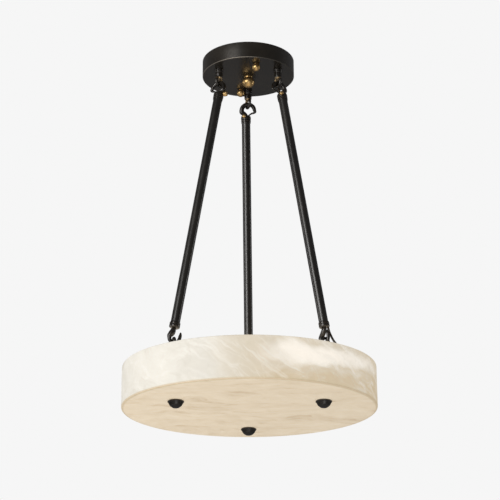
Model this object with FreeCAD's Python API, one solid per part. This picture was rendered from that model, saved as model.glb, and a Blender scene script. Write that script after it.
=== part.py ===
import FreeCAD, Part
import math, os
from FreeCAD import Vector as V

# Round stone bowl pendant hung from a drum canopy by three splayed rods.
# Millimetres.  Origin: centre of the canopy's top rim, on the ceiling plane.
# +Z up.  The three hanging points stand at 90, 210 and 330 degrees about Z.

os.makedirs("parts", exist_ok=True)

# ------------------------------------------------------------ driving sizes
BOWL_R = 200.0            # bowl outer radius
BOWL_Z0 = -601.0          # bowl underside
BOWL_H = 66.0             # bowl height
BOWL_WALL = 14.0          # side wall thickness
BOWL_FLOOR = 14.0         # floor thickness
BOWL_EDGE = 2.5           # outer edge radius

CAN_R = 77.0              # canopy outer radius
CAN_H = 28.0              # canopy height
CAN_T = 1.2               # canopy sheet thickness
CAN_FLOOR = 1.5           # canopy underside thickness

AZ = {"far": 90.0, "left": 210.0, "right": 330.0}
EYE_R = 56.5              # canopy eyes, radius from the centre
STUD_R = 130.0            # bowl studs and finials, radius from the centre
BOWL_EYE_R = 135.0        # the cranked eye on top of each bowl stud

ROD_D = 14.6              # rod outside diameter
ROD_BORE = 12.2           # rod inside diameter
FER_D = 16.8              # ferrule diameter

EYE_WIRE = 2.3            # canopy eye, wire radius
EYE_RC = 8.2              # canopy eye, centre line radius
EYE_ZC = -50.0            # canopy eye, centre height
HOOK_WIRE = 3.4           # top hook, wire radius
HOOK_RC = 10.9            # top hook, bend centre line radius
HOOK_GAP = 0.4            # clearance between top hook and canopy eye

BEYE_WIRE = 2.4           # bowl eye, wire radius
BEYE_RC = 7.3             # bowl eye, centre line radius
BEYE_ZC = -511.0          # bowl eye, centre height
JHOOK_WIRE = 3.1          # bottom hook, wire radius
JHOOK_RC = 7.7            # bottom hook, bend centre line radius
JHOOK_GAP = 1.65          # clearance left at the open lower pivot

Z_TOP = -71.6             # top face of the upper ferrule, on the rod axis
Z_FER_UP = -85.0          # lower end of the upper ferrule
Z_FER_LO = -477.5         # upper end of the lower ferrule
Z_BOT = -487.0            # bottom face of the lower ferrule, on the rod axis

BALL_AZ = 104.0           # line of the canopy bar and its two ball nuts
BALL_R = 52.0             # their distance from the centre

# plane of each top hook (shank side to tip side) and of each bottom hook,
# as degrees about Z, and where the bend lies from the rod axis
TOP_DIR = {"far": 0.0, "left": 150.0, "right": 210.0}
TOP_U = 3.8
BOT_DIR = {"far": 255.0, "left": 15.0, "right": 313.5}
BOT_U = {"far": 3.5, "left": 3.5, "right": -3.5}
# how far each canopy eye is turned from square to its hook
EYE_TURN = {"far": 22.0, "left": 0.0, "right": 0.0}
# brass set screw on each upper ferrule, degrees about Z
SCREW_DIR = {"far": 247.0, "left": -8.0, "right": 262.0}
LEAD_AZ = 100.0           # the lead enters the right rod from behind
# length and radius added to each screw's head, and how far its centre is below the top
SCREW_MORE = {"far": (0.0, 0.0), "left": (3.2, 0.7), "right": (0.3, 0.0)}
SCREW_DROP = {"far": 5.2, "left": 4.4, "right": 4.4}

parts = {}


def pol(r, deg, z=0.0):
    a = math.radians(deg)
    return V(r * math.cos(a), r * math.sin(a), z)


def horiz(deg):
    return pol(1.0, deg)


def cyl(r, z0, z1, x=0.0, y=0.0):
    return Part.makeCylinder(r, z1 - z0, V(x, y, z0))


def cyl_at(r, p, q):
    d = q.sub(p)
    return Part.makeCylinder(r, d.Length, p, d)


def cone_at(r1, r2, p, q):
    d = q.sub(p)
    return Part.makeCone(r1, r2, d.Length, p, d)


def ball(r, p):
    return Part.makeSphere(r, p)


def fuse(shapes):
    s = shapes[0].multiFuse(shapes[1:]) if len(shapes) > 1 else shapes[0]
    return s.removeSplitter()


def rounded(pts, rads, closed=False):
    """Straight runs through pts joined by tangent arcs of the given radii."""
    n = len(pts)
    edges, cuts = [], []
    for i in range(n):
        r = rads[i]
        if (not closed and i in (0, n - 1)) or r <= 0:
            cuts.append((pts[i], pts[i], None))
            continue
        a, b, c = pts[i - 1], pts[i], pts[(i + 1) % n]
        u = a.sub(b).normalize()
        w = c.sub(b).normalize()
        ang = math.acos(max(-1.0, min(1.0, u.dot(w))))
        t = r / math.tan(ang / 2)
        p, q = b.add(u * t), b.add(w * t)
        bis = u.add(w).normalize()
        m = b.add(bis * (r / math.sin(ang / 2) - r))
        cuts.append((p, q, m))
    rng = range(n) if closed else range(n - 1)
    for i in range(n):
        p, q, m = cuts[i]
        if m is not None:
            edges.append(Part.Arc(p, m, q).toShape())
        if i in rng:
            nxt = cuts[(i + 1) % n][0]
            if q.sub(nxt).Length > 1e-6:
                edges.append(Part.LineSegment(q, nxt).toShape())
    return Part.Wire(Part.__sortEdges__(edges))


def turned(prof, centre=V(0, 0, 0)):
    """Solid of revolution about Z from (r, z, corner radius) points."""
    pts = [V(p[0], 0, p[1]) for p in prof]
    rads = [p[2] if len(p) > 2 else 0.0 for p in prof]
    face = Part.Face(rounded(pts, rads, closed=True))
    s = face.revolve(V(0, 0, 0), V(0, 0, 1), 360)
    s.translate(centre)
    return s


def tube(pts, rads, r):
    """Round bar of radius r along runs and tangent arcs; checks its volume."""
    path = rounded(pts, rads)
    t = pts[1].sub(pts[0]).normalize()
    circ = Part.Wire(Part.makeCircle(r, pts[0], t))
    s = path.makePipeShell([circ], True, False)
    want = math.pi * r * r * path.Length
    print("tube length %.1f volume ratio %.4f radii %s" %
          (path.Length, s.Volume / want, [round(x, 1) for x in rads if x]))
    return s


def hexnut(af, z0, z1, bore, x=0.0, y=0.0, turn=0.0):
    r = af / math.sqrt(3)
    pts = [V(x, y, z0).add(pol(r, turn + 60 * i)) for i in range(7)]
    s = Part.Face(Part.makePolygon(pts)).extrude(V(0, 0, z1 - z0))
    h = z1 - z0
    c = min(0.22 * af * 0.5, 0.3 * h)
    lim = turned([(0, z0), (r - c, z0), (r, z0 + c * 0.6), (r, z1 - c * 0.6),
                  (r - c, z1), (0, z1)], V(x, y, 0))
    return s.common(lim).cut(cyl(bore, z0 - 1, z1 + 1, x, y))


def washer(ro, ri, z0, z1, x=0.0, y=0.0):
    return cyl(ro, z0, z1, x, y).cut(cyl(ri, z0 - 1, z1 + 1, x, y))


def box(x0, y0, z0, x1, y1, z1):
    return Part.makeBox(x1 - x0, y1 - y0, z1 - z0, V(x0, y0, z0))


def spun(shape, deg):
    s = shape.copy()
    s.rotate(V(0, 0, 0), V(0, 0, 1), deg)
    return s


def add(name, shape):
    parts[name] = shape


eyes = {k: pol(EYE_R, a) for k, a in AZ.items()}
studs = {k: pol(STUD_R, a) for k, a in AZ.items()}
beyes = {k: pol(BOWL_EYE_R, a) for k, a in AZ.items()}
hook_zc = EYE_ZC - EYE_RC + EYE_WIRE + HOOK_GAP + HOOK_WIRE
jhook_zc = BEYE_ZC + BEYE_RC - BEYE_WIRE - JHOOK_GAP - JHOOK_WIRE

# ------------------------------------------------------------------ canopy
shell = turned([(0, -CAN_H), (CAN_R, -CAN_H, 1.0), (CAN_R, 0),
                (CAN_R - CAN_T, 0), (CAN_R - CAN_T, -CAN_H + CAN_FLOOR, 0.6),
                (0, -CAN_H + CAN_FLOOR)])
plate_z0 = -CAN_H + CAN_FLOOR
plate = turned([(0, plate_z0), (68, plate_z0), (68, plate_z0 + 2.0),
                (0, plate_z0 + 2.0)])
b1, b2 = pol(BALL_R, BALL_AZ), pol(BALL_R, BALL_AZ + 180)
lead_hole = V(49.5, -6.0, 0)
for p, r in ([(e, 4.3) for e in eyes.values()] +
             [(b1, 2.3), (b2, 2.3), (V(0, 0, 0), 5.2), (lead_hole, 3.6)]):
    shell = shell.cut(cyl(r, -40, 10, p.x, p.y))
    plate = plate.cut(cyl(r, -40, 10, p.x, p.y))
add("canopy_shell", shell)
add("canopy_backing_plate", plate)


def slot(half_len, r, cx, z0, z1):
    s = box(cx - half_len + r, -r, z0, cx + half_len - r, r, z1)
    return s.fuse(cyl(r, z0, z1, cx - half_len + r)).fuse(
        cyl(r, z0, z1, cx + half_len - r))


# fixing strap for a ceiling box: two slots on an 88.9 mm line
strap = box(-54, -10, -2.2, 54, 10, 0)
strap = strap.makeFillet(6.0, [e for e in strap.Edges
                               if abs(e.tangentAt(e.FirstParameter).z) > 0.9])
strap = strap.cut(slot(6.0, 2.4, -44.45, -5, 2)).cut(slot(6.0, 2.4, 44.45, -5, 2))
strap = strap.cut(cyl(5.05, -5, 2)).cut(cyl(1.75, -5, 2, 26, 0))
add("ceiling_strap", strap)

# bar under the strap, swung round to the line of the two ball nuts
bar = box(-60, -8, -4.6, 60, 8, -2.3)
bar = bar.makeFillet(5.0, [e for e in bar.Edges
                           if abs(e.tangentAt(e.FirstParameter).z) > 0.9])
bar = bar.cut(cyl(5.05, -8, 2)).cut(cyl(2.05, -8, 2, BALL_R)).cut(
    cyl(2.05, -8, 2, -BALL_R))
bar = bar.cut(slot(9.0, 2.1, 27, -8, 2)).cut(slot(9.0, 2.1, -27, -8, 2))
add("canopy_bar", spun(bar, BALL_AZ))

nipple = cyl(4.98, -33.0, -0.4).cut(cyl(3.4, -34, 1))
add("centre_nipple", nipple)
add("nipple_nuts", Part.makeCompound([
    hexnut(16.0, -9.2, -4.7, 5.0), hexnut(16.0, -24.4, -20.6, 5.0, turn=12)]))

# flattened brass ball that closes the centre hole
cb_r, cb_h = 10.4, 18.0
cb = turned([(0, -CAN_H - cb_h), (cb_r * 0.62, -CAN_H - cb_h, 3.0),
             (cb_r, -CAN_H - cb_h * 0.62, 6.4),
             (cb_r, -CAN_H - cb_h * 0.34, 5.0), (6.3, -CAN_H - 0.02, 0.6),
             (0, -CAN_H - 0.02)])
cb = cb.cut(cyl(5.0, -33.2, -27))
add("centre_ball", cb)

# two studs and the two small brass ball nuts
st, nuts, balls = [], [], []
for k, p in enumerate((b1, b2)):
    st.append(cyl(2.0, -35.0, -1.2, p.x, p.y))
    nuts.append(hexnut(7.0, -7.8, -4.7, 2.0, p.x, p.y, turn=20 + 25 * k))
    s = turned([(0, -CAN_H - 12.2), (2.4, -CAN_H - 12.2, 1.4),
                (6.8, -CAN_H - 9.0, 4.2), (6.8, -CAN_H - 2.8, 4.0),
                (4.6, -CAN_H - 0.9, 0.5), (4.6, -CAN_H - 0.02),
                (0, -CAN_H - 0.02)], p)
    balls.append(s.cut(cyl(2.0, -35.2, -27, p.x, p.y)))
add("canopy_studs", Part.makeCompound(st))
add("canopy_stud_nuts", Part.makeCompound(nuts))
add("canopy_ball_nuts", Part.makeCompound(balls))

# three forged eyes through the canopy
for k in AZ:
    e = eyes[k]
    n = horiz(TOP_DIR[k] + EYE_TURN[k])          # ring axis
    ring = Part.makeTorus(EYE_RC, EYE_WIRE, V(e.x, e.y, EYE_ZC), n)
    body = turned([(0, -CAN_H - 17.0), (4.2, -CAN_H - 17.0, 0.8),
                   (6.2, -CAN_H - 14.2, 1.6), (6.4, -CAN_H - 5.2, 0.4),
                   (7.2, -CAN_H - 4.6, 0.4), (7.2, -CAN_H - 2.4, 0.4),
                   (6.6, -CAN_H - 2.0), (7.2, -CAN_H - 1.6),
                   (7.2, -CAN_H - 0.02), (4.0, -CAN_H - 0.02), (4.0, -14.6),
                   (3.4, -14.0), (0, -14.0)], e)
    hole = Part.makeCylinder(EYE_RC - EYE_WIRE, 16,
                             V(e.x, e.y, EYE_ZC).sub(n * 8), n)
    add("canopy_eye_" + k, fuse([body.cut(hole), ring]))
add("canopy_eye_nuts", Part.makeCompound(
    [hexnut(13.0, -22.9, -16.6, 4.0, eyes[k].x, eyes[k].y, 10) for k in AZ] +
    [washer(8.0, 4.3, -24.4, -23.0, eyes[k].x, eyes[k].y) for k in AZ]))

# three-way terminal block on the backing plate and the earth screw
tb = box(16, -30, -24.4, 48, -14, -12.5)
tb = tb.makeFillet(1.0, tb.Edges)
for i in range(3):
    tb = tb.cut(cyl(2.4, -17, -10, 21.3 + 10.6 * i, -22))
    tb = tb.cut(cyl_at(1.9, V(21.3 + 10.6 * i, -31, -19.5),
                       V(21.3 + 10.6 * i, -24.5, -19.5)))
    tb = tb.cut(cyl_at(1.9, V(21.3 + 10.6 * i, -13, -19.5),
                       V(21.3 + 10.6 * i, -19.5, -19.5)))
tb.rotate(V(32, -22, 0), V(0, 0, 1), 50)
tb.translate(V(-4, 30, 0))
add("terminal_block", tb)
es = fuse([cyl(1.7, -8.0, -0.4, 26, 0),
           turned([(0, -4.6), (3.5, -4.6, 0.8), (3.5, -2.3), (0, -2.3)],
                  V(26, 0, 0))])
add("earth_screw", es)

# bushing that the lead leaves the canopy by
lb = turned([(2.1, -CAN_H - 5.0), (3.3, -CAN_H - 5.0, 0.8),
             (5.2, -CAN_H - 1.8, 0.8), (5.2, -CAN_H - 0.02),
             (3.5, -CAN_H - 0.02), (3.5, -21.6), (2.1, -21.6)],
            V(lead_hole.x, lead_hole.y, 0))
add("lead_bushing", lb)

# -------------------------------------------------------------------- rods
frames = {}
for k in AZ:
    td, bd = horiz(TOP_DIR[k]), horiz(BOT_DIR[k])
    top_pt = V(eyes[k].x, eyes[k].y, hook_zc).sub(td * TOP_U)
    bot_pt = V(beyes[k].x, beyes[k].y, jhook_zc).sub(bd * BOT_U[k])
    a = top_pt.sub(bot_pt).normalize()

    def at(z, p=bot_pt, a=a):
        return p.add(a * ((z - p.z) / a.z))

    def frame(origin, direc, a=a):
        u = direc.sub(a * direc.dot(a)).normalize()
        v = a.cross(u)
        return FreeCAD.Placement(FreeCAD.Matrix(
            u.x, v.x, a.x, origin.x, u.y, v.y, a.y, origin.y,
            u.z, v.z, a.z, origin.z, 0, 0, 0, 1))
    frames[k] = (at, frame, a)
    print("rod", k, "axis at top", [round(c, 2) for c in at(Z_TOP)],
          "at bottom", [round(c, 2) for c in at(Z_BOT)],
          "splay %.2f" % math.degrees(math.acos(a.z)))

    L = at(Z_TOP).sub(at(Z_BOT)).Length
    base = frame(at(Z_BOT), bd)          # local z runs up the rod axis
    topf = frame(at(Z_TOP), td)          # local z = 0 at the ferrule's top
    fu = at(Z_TOP).sub(at(Z_FER_UP)).Length
    fl = at(Z_FER_LO).sub(at(Z_BOT)).Length

    # rod tube, seated against a step inside each ferrule
    t = cyl(ROD_D / 2, 4.0, L - 10.6).cut(cyl(ROD_BORE / 2, 0, L))
    t.Placement = base
    add("rod_tube_" + k, t)

    # upper ferrule: rounded shoulder, plain band, fine groove, thin band
    R = FER_D / 2
    f = turned([(3.1, 0), (R - 1.6, 0, 1.0), (R, -3.0, 1.6), (R, -fu + 5.2),
                (R - 0.7, -fu + 4.7), (R - 0.7, -fu + 4.2), (R - 0.35, -fu + 3.9),
                (R - 0.35, -fu, 0.5), (ROD_D / 2, -fu), (ROD_D / 2, -10.6),
                (3.1, -10.6)])
    g = SCREW_DIR[k]
    gd = horiz(g)
    f.Placement = topf
    gc = at(Z_TOP - SCREW_DROP[k])
    gdir = gd.add(V(0, 0, 0.15)).normalize()
    gx, gr = SCREW_MORE[k]
    f = f.cut(cyl_at(2.9, gc.add(gdir * 3.4), gc.add(gdir * 14)))
    if k == "right":
        lc = at(Z_TOP - 6.0)
        ld = horiz(LEAD_AZ).add(V(0, 0, 0.8)).normalize()
        f = f.cut(cyl_at(2.3, lc.add(ld * 1.5), lc.add(ld * 20)))
    add("top_ferrule_" + k, f)

    # brass set screw let into the ferrule's side, with a domed slotted head
    gl = fuse([cyl_at(2.88, gc.add(gdir * 5.4), gc.add(gdir * 9.2)),
               cyl_at(3.3 + gr, gc.add(gdir * 8.8), gc.add(gdir * (10.4 + gx))),
               cone_at(3.3 + gr, 2.6 + gr, gc.add(gdir * (10.4 + gx)),
                       gc.add(gdir * (11.9 + gx)))])
    sl = box(-5, -0.45, 11.2 + gx, 5, 0.45, 14 + gx)
    sl.Placement = FreeCAD.Placement(gc, FreeCAD.Rotation(V(0, 0, 1), gdir))
    gl = gl.cut(sl)
    add("ferrule_screw_" + k, gl)

    # top hook: threaded shank, thick limb, round bend, tapered closing tip
    inv = topf.inverse()
    c = inv.multVec(V(eyes[k].x, eyes[k].y, hook_zc))
    uc, wc = c.x, c.z - HOOK_RC
    s0, s1 = V(0, 0, -5.6), V(0, 0, 3.0)
    lim = V(uc - HOOK_RC, 0, wc)
    # half torus over the top, in the plane of the hook
    bend = Part.makeTorus(HOOK_RC, HOOK_WIRE, V(uc, 0, wc), V(0, -1, 0))
    half = box(uc - 30, -20, wc, uc + 30, 20, wc + 40)
    bend = bend.common(half)
    pe = V(uc + HOOK_RC, 0, wc)                  # bend's end on the tip side
    corner = V(uc + HOOK_RC + 0.8, 0, wc - 2.6)
    tip = V(5.0, 0, 1.7)
    hook = [cyl_at(3.0, s0, s1), ball(3.0, s1),
            cone_at(3.0, 4.2, s1, V(-6.5, 0, wc - 2.6)),
            ball(4.2, V(-6.5, 0, wc - 2.6)),
            cone_at(4.2, HOOK_WIRE, V(-6.5, 0, wc - 2.6), lim),
            ball(HOOK_WIRE, lim), bend,
            ball(HOOK_WIRE, pe), cone_at(HOOK_WIRE, 2.3, pe, corner),
            ball(2.3, corner),
            cone_at(2.1, 1.0, corner, tip), ball(1.0, tip)]
    h = fuse(hook)
    h.Placement = topf
    add("top_hook_" + k, h)

    # lower ferrule
    f = turned([(3.1, 0), (R - 1.4, 0, 0.8), (R, 1.8, 1.0), (R, fl - 2.0),
                (R - 0.5, fl - 1.7), (R - 0.5, fl - 1.3), (R - 0.2, fl - 1.0),
                (R - 0.2, fl, 0.4), (ROD_D / 2, fl), (ROD_D / 2, 4.0),
                (3.1, 4.0)])
    if k == "right":
        f = f.cut(cyl(2.2, -1, 4.0, 1.0, 5.5))
    f.Placement = base
    add("bottom_ferrule_" + k, f)

    # bottom hook: open J with a pointed tip
    inv = base.inverse()
    c = inv.multVec(V(beyes[k].x, beyes[k].y, jhook_zc))
    uc, wc = c.x, c.z + JHOOK_RC
    s0, s1 = V(0, 0, 3.6), V(0, 0, -2.6)
    lim = V(uc - JHOOK_RC, 0, wc)
    sh = s1.add(lim.sub(s1) * 0.42)              # thickest place of the shoulder
    jb = Part.makeTorus(JHOOK_RC, JHOOK_WIRE, V(uc, 0, wc), V(0, -1, 0))
    jb = jb.common(box(uc - 30, -20, wc - 30, uc + 30, 20, wc))
    pe = V(uc + JHOOK_RC, 0, wc)
    tip = V(uc + JHOOK_RC + 1.6, 0, wc + 8.6)
    h = fuse([cyl_at(3.0, s0, s1), ball(3.0, s1),
              cone_at(3.0, 4.9, V(0, 0, -2.2), sh), ball(4.9, sh),
              cone_at(4.9, JHOOK_WIRE + 0.3, sh, lim),
              ball(JHOOK_WIRE + 0.3, lim), jb,
              ball(JHOOK_WIRE, pe), cone_at(JHOOK_WIRE, 1.4, pe, tip),
              ball(1.4, tip)])
    h.Placement = base
    add("bottom_hook_" + k, h)

# -------------------------------------------------------------------- bowl
zb, zr = BOWL_Z0, BOWL_Z0 + BOWL_H
Ri = BOWL_R - BOWL_WALL
bowl = turned([(0, zb), (BOWL_R, zb, BOWL_EDGE), (BOWL_R, zr, 2.0),
               (Ri, zr, 1.5), (Ri, zb + BOWL_FLOOR, 6.0),
               (0, zb + BOWL_FLOOR)])
for k in AZ:
    bowl = bowl.cut(cyl(4.2, zb - 1, zb + BOWL_FLOOR + 1, studs[k].x, studs[k].y))
add("alabaster_bowl", bowl)

floor = zb + BOWL_FLOOR                      # -587
TRAY_Z = floor + 21.0                        # underside of the light tray
TRAY_T = 1.5
DIFF_Z = TRAY_Z + TRAY_T + 23.0              # underside of the top cover
DIFF_T = 3.0
felt, pads, spacers, sleeves, snuts = [], [], [], [], []
for k in AZ:
    p, q = studs[k], beyes[k]
    # cranked eye stud: threaded below, forged ring on top
    run = tube([V(p.x, p.y, zb - 6.0), V(p.x, p.y, BEYE_ZC - 20.0),
                V(q.x, q.y, BEYE_ZC - BEYE_RC + 0.2)], [0, 14.0, 0], 3.0)
    n = horiz(BOT_DIR[k])
    ring = Part.makeTorus(BEYE_RC, BEYE_WIRE, V(q.x, q.y, BEYE_ZC), n)
    hole = Part.makeCylinder(BEYE_RC - BEYE_WIRE, 12,
                             V(q.x, q.y, BEYE_ZC).sub(n * 6), n)
    add("bowl_eye_" + k, fuse([run.cut(hole), ring]))
    # domed finial nut
    fin = turned([(0, zb - 11.8), (4.6, zb - 11.6, 3.0), (9.6, zb - 7.6, 4.0),
                  (11.9, zb - 3.4, 1.0), (12.8, zb - 2.6, 0.5),
                  (12.8, zb - 0.8), (0, zb - 0.8)], p)
    fin = fin.cut(cyl(3.0, zb - 6.2, zb, p.x, p.y))
    add("finial_" + k, fin)
    felt.append(washer(11.0, 3.3, zb - 0.8, zb, p.x, p.y))
    pads.append(washer(11.0, 3.3, floor, floor + 2.0, p.x, p.y))
    spacers.append(washer(7.0, 3.2, floor + 2.0, TRAY_Z, p.x, p.y))
    snuts.append(hexnut(10.0, TRAY_Z + TRAY_T, TRAY_Z + TRAY_T + 5.0, 3.0,
                        p.x, p.y, 15))
    sleeves.append(washer(6.0, 3.2, TRAY_Z + TRAY_T + 5.0, DIFF_Z, p.x, p.y))
    snuts.append(hexnut(10.0, DIFF_Z + DIFF_T, DIFF_Z + DIFF_T + 3.2, 3.0,
                        p.x, p.y, 40))
add("felt_washers", Part.makeCompound(felt))
add("rubber_pads", Part.makeCompound(pads))
add("tray_spacers", Part.makeCompound(spacers))
add("stud_nuts", Part.makeCompound(snuts))
add("cover_sleeves", Part.makeCompound(sleeves))

# pressed aluminium light tray: flat pan with an upturned edge
tray = turned([(0, TRAY_Z), (166, TRAY_Z, 3.0), (166, TRAY_Z + 11),
               (164.5, TRAY_Z + 11), (164.5, TRAY_Z + TRAY_T, 1.5),
               (0, TRAY_Z + TRAY_T)])
for k in AZ:
    tray = tray.cut(cyl(3.3, TRAY_Z - 1, TRAY_Z + 5, studs[k].x, studs[k].y))
add("light_tray", tray)

# ring board with its light chips on the underside of the tray
board = washer(112.0, 76.0, TRAY_Z - 1.6, TRAY_Z)
add("led_board", board)
chips = []
for i in range(24):
    c = pol(101.0 if i % 2 else 86.0, 15 * i + 7.5)
    b = box(-1.75, -1.4, TRAY_Z - 2.4, 1.75, 1.4, TRAY_Z - 1.6)
    b.rotate(V(0, 0, 0), V(0, 0, 1), 15 * i + 7.5)
    b.translate(c)
    chips.append(b)
add("led_chips", Part.makeCompound(chips))

# driver block on top of the tray
dz = TRAY_Z + TRAY_T
drv = box(-58, -20, dz + 0.0, 58, 20, dz + 19.0)
drv = drv.makeFillet(2.0, drv.Edges)
lug = box(-70, -9, dz, 70, 9, dz + 2.0)
lug = lug.makeFillet(4.0, [e for e in lug.Edges
                           if abs(e.tangentAt(e.FirstParameter).z) > 0.9])
drv = fuse([drv, lug])
drv = drv.cut(cyl(1.8, dz - 1, dz + 4, 64.5)).cut(cyl(1.8, dz - 1, dz + 4, -64.5))
add("led_driver", drv)
add("driver_screws", Part.makeCompound([
    fuse([cyl(1.7, TRAY_Z, dz + 2.2, x),
          turned([(0, dz + 2.0), (3.3, dz + 2.0), (3.3, dz + 4.0, 1.2),
                  (0, dz + 4.2)], V(x, 0, 0))]) for x in (64.5, -64.5)]))
tray = tray.cut(cyl(1.75, TRAY_Z - 1, TRAY_Z + 3, 64.5)).cut(
    cyl(1.75, TRAY_Z - 1, TRAY_Z + 3, -64.5))
add("light_tray", tray)

# frosted cover that closes the bowl from above
cover = turned([(0, DIFF_Z), (182.5, DIFF_Z, 0.6), (182.5, DIFF_Z + DIFF_T, 0.8),
                (0, DIFF_Z + DIFF_T)])
grom = V(140.5, -71.5, 0)
for k in AZ:
    cover = cover.cut(cyl(3.4, DIFF_Z - 1, DIFF_Z + 5, studs[k].x, studs[k].y))
cover = cover.cut(cyl(4.0, DIFF_Z - 1, DIFF_Z + 5, grom.x, grom.y))
add("top_cover", cover)
gr = turned([(1.9, DIFF_Z - 1.6), (5.6, DIFF_Z - 1.6, 0.6), (5.6, DIFF_Z - 0.02),
             (3.95, DIFF_Z - 0.02), (3.95, DIFF_Z + DIFF_T + 0.02),
             (5.6, DIFF_Z + DIFF_T + 0.02), (5.2, DIFF_Z + DIFF_T + 2.4, 0.8),
             (1.9, DIFF_Z + DIFF_T + 2.4)], grom)
add("cover_grommet", gr)

# -------------------------------------------------------------------- leads
LEAD_R = 1.7
LEAD_GAP = 3.6            # the leads stop this far short of the moving rod


def arc_radii(pts, least):
    out = [0]
    for i in range(1, len(pts) - 1):
        a, b, c = pts[i - 1], pts[i], pts[i + 1]
        u, w = a.sub(b), c.sub(b)
        turn = math.pi - u.getAngle(w)
        m = min(u.Length, w.Length)
        out.append(0.45 * m / math.tan(turn / 2))
    out.append(0)
    return out


at, frame, a = frames["right"]
# from the terminal block down through the canopy bushing, behind the eye, and
# towards the hole in the back of the ferrule
lc = at(Z_TOP - 6.0)
ld = horiz(LEAD_AZ).add(V(0, 0, 0.8)).normalize()
p_in = lc.add(ld * (8.6 + LEAD_GAP))
upper = [V(lead_hole.x, lead_hole.y, -15.0),
         V(lead_hole.x, lead_hole.y, -48.0),
         p_in.add(ld * 9.0), p_in]
rr = arc_radii(upper, 4)
print("upper lead radii", [round(x, 1) for x in rr])
add("lead_upper", tube(upper, rr, LEAD_R))

# inside the rod
li = cyl(LEAD_R, 6.0, at(Z_TOP).sub(at(Z_BOT)).Length - 12.0)
li.Placement = frame(at(Z_BOT), horiz(BOT_DIR["right"]))
add("lead_in_rod", li)

# from the rod's lower end over into the bowl
base = frame(at(Z_BOT), horiz(BOT_DIR["right"]))
ex = base.multVec(V(1.0, 5.5, -LEAD_GAP))
ex2 = base.multVec(V(1.0, 5.5, -9.0))
lower = [ex, ex2, V(ex2.x + 4.4, ex2.y + 0.3, -505.5),
         V(135.6, -69.5, -517.0), V(grom.x, grom.y, -531.0),
         V(grom.x, grom.y, DIFF_Z - 9.0)]
rr = arc_radii(lower, 4)
print("lower lead radii", [round(x, 1) for x in rr])
add("lead_lower", tube(lower, rr, LEAD_R))

# ------------------------------------------------------------------- write
for name, s in parts.items():
    ok = s.isValid()
    bb = s.BoundBox
    print("%-22s solids %2d valid %s vol %10.1f  x %.1f..%.1f y %.1f..%.1f z %.1f..%.1f"
          % (name, len(s.Solids), ok, s.Volume, bb.XMin, bb.XMax, bb.YMin,
             bb.YMax, bb.ZMin, bb.ZMax))
    s.exportStep("parts/" + name + ".step")
print(len(parts), "nodes")
up = EYE_ZC - EYE_RC
lo = jhook_zc
ratio = BOWL_EYE_R / (BOWL_EYE_R - EYE_R)
print("upper pivot z %.3f lower pivot z %.3f ratio %.4f apex z %.3f"
      % (up, lo, ratio, lo + ratio * (up - lo)))
for k in AZ:
    print(k, "upper pivot", [round(c, 3) for c in (eyes[k].x, eyes[k].y, up)])
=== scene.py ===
import bpy
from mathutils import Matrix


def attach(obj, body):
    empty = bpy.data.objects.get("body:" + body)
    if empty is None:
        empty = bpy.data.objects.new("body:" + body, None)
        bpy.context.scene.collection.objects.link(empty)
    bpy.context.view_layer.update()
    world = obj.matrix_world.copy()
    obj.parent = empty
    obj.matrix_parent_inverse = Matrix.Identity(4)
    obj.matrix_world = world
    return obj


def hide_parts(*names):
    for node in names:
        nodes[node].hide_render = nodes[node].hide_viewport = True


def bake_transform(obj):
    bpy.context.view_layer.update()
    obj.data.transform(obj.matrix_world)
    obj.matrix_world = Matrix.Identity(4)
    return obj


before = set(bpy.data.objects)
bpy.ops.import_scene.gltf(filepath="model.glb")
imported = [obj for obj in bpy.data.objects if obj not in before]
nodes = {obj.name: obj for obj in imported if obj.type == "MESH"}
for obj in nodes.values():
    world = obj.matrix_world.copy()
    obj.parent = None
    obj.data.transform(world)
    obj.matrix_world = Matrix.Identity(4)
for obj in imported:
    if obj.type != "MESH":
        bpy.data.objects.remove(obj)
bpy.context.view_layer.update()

import bpy, bmesh, math
from mathutils import Vector, Matrix, noise

scene = bpy.context.scene
MM = 0.001

# ------------------------------------------------------------------ camera
cam = bpy.data.objects.new("camera", bpy.data.cameras.new("camera"))
scene.collection.objects.link(cam)
cam.data.sensor_width = 36.0
cam.data.lens = 36.0 * 1514.1 / 500.0
cam.data.clip_start, cam.data.clip_end = 0.05, 50.0
turn = math.radians(-0.65)
where = Matrix.Rotation(turn, 4, "Z") @ Vector((0.00182, -2.3148, -1.1427))
cam.matrix_world = (Matrix.Translation(where) @ Matrix.Rotation(turn, 4, "Z")
                    @ Matrix.Rotation(math.radians(90.0) + 0.3353, 4, "X")
                    @ Matrix.Rotation(-0.0038, 4, "Z"))
scene.camera = cam
scene.view_settings.view_transform = "Standard"

# ------------------------------------------------------- sizes, as in CAD
AZ = {"far": 90.0, "left": 210.0, "right": 330.0}
EYE_R, STUD_R, BEYE_R = 56.5, 130.0, 135.0
EYE_WIRE, EYE_RC, EYE_ZC = 2.3, 8.2, -50.0
HOOK_WIRE, HOOK_RC = 3.4, 10.9
BEYE_WIRE, BEYE_RC, BEYE_ZC = 2.4, 7.3, -511.0
JW, JRC = 3.1, 7.7
HOOK_ZC = EYE_ZC - EYE_RC + EYE_WIRE + 0.4 + HOOK_WIRE
J_ZC = BEYE_ZC + BEYE_RC - BEYE_WIRE - 1.65 - JW
Z_TOP, Z_FU, Z_FL, Z_BOT = -71.6, -85.0, -477.5, -487.0
ROD_R, FER_R, TOP_U = 7.3, 8.4, 3.8
TOP_DIR = {"far": 0.0, "left": 150.0, "right": 210.0}
BOT_DIR = {"far": 255.0, "left": 15.0, "right": 313.5}
BOT_U = {"far": 3.5, "left": 3.5, "right": -3.5}
EYE_TURN = {"far": 22.0, "left": 0.0, "right": 0.0}
SCREW_DIR = {"far": 247.0, "left": -8.0, "right": 262.0}
SCREW_MORE = {"far": (0.0, 0.0), "left": (3.2, 0.7), "right": (0.3, 0.0)}
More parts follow.
